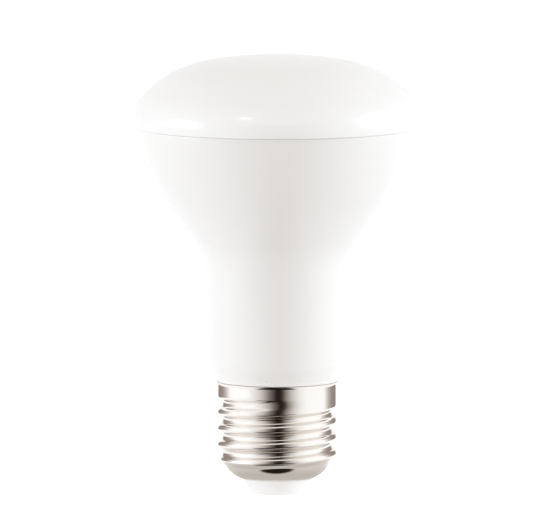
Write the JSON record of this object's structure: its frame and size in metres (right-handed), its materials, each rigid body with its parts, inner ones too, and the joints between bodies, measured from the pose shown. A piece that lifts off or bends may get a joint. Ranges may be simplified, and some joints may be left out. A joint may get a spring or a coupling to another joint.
{
  "type": "reflector bulb",
  "caption": "Reflector bulb with a low domed opal cover on a flared white moulded body that narrows to a neck and an E27 screw cap.",
  "frame": {"origin": "tip of the centre contact, on the bulb's axis", "axes": "+Z along the bulb's axis, from the cap to the domed front"},
  "size_m": [0.063, 0.0629, 0.097],
  "materials": {
    "opal_cover": "opal white moulding, satin gloss",
    "white_housing": "warm white moulding, satin gloss",
    "nickel_plate": "bright nickel plate on pressed steel",
    "white_insulator": "white moulding",
    "contact_metal": "nickel-plated brass",
    "cast_aluminium": "as cast",
    "board_white": "aluminium board with white solder mask",
    "led_white": "white package",
    "phosphor": "silicone filled with yellow phosphor",
    "screw_steel": "zinc-plated",
    "connector_white": "white moulding",
    "board_green": "green solder mask",
    "capacitor_sleeve": "dark shrink sleeve",
    "film_case": "red dipped case",
    "ferrite": "dark ferrite",
    "copper_wire": "enamelled copper",
    "resistor_body": "grey-blue coating",
    "chip_black": "black moulding",
    "wire_brown": "brown insulation",
    "bare_wire": "tinned copper",
    "wire_red": "red insulation",
    "wire_black": "black insulation"
  },
  "bodies": {
    "root": {"diffuser": "opal_cover", "housing": "white_housing", "screw_shell": "nickel_plate", "insulator": "white_insulator", "contact_pin": "contact_metal", "heat_sink": "cast_aluminium", "led_board": "board_white", "led_packages": "led_white", "led_phosphors": "phosphor", "board_screws": "screw_steel", "board_connector": "connector_white", "driver_board": "board_green", "smoothing_capacitor": "capacitor_sleeve", "film_capacitor": "film_case", "choke_core": "ferrite", "choke_winding": "copper_wire", "fusible_resistor": "resistor_body", "driver_chip": "chip_black", "bridge_rectifier": "chip_black", "chip_resistors": "chip_black", "live_wire": "wire_brown", "neutral_wire": "bare_wire", "led_lead_positive": "wire_red", "led_lead_negative": "wire_black"}
  },
  "joints": []
}
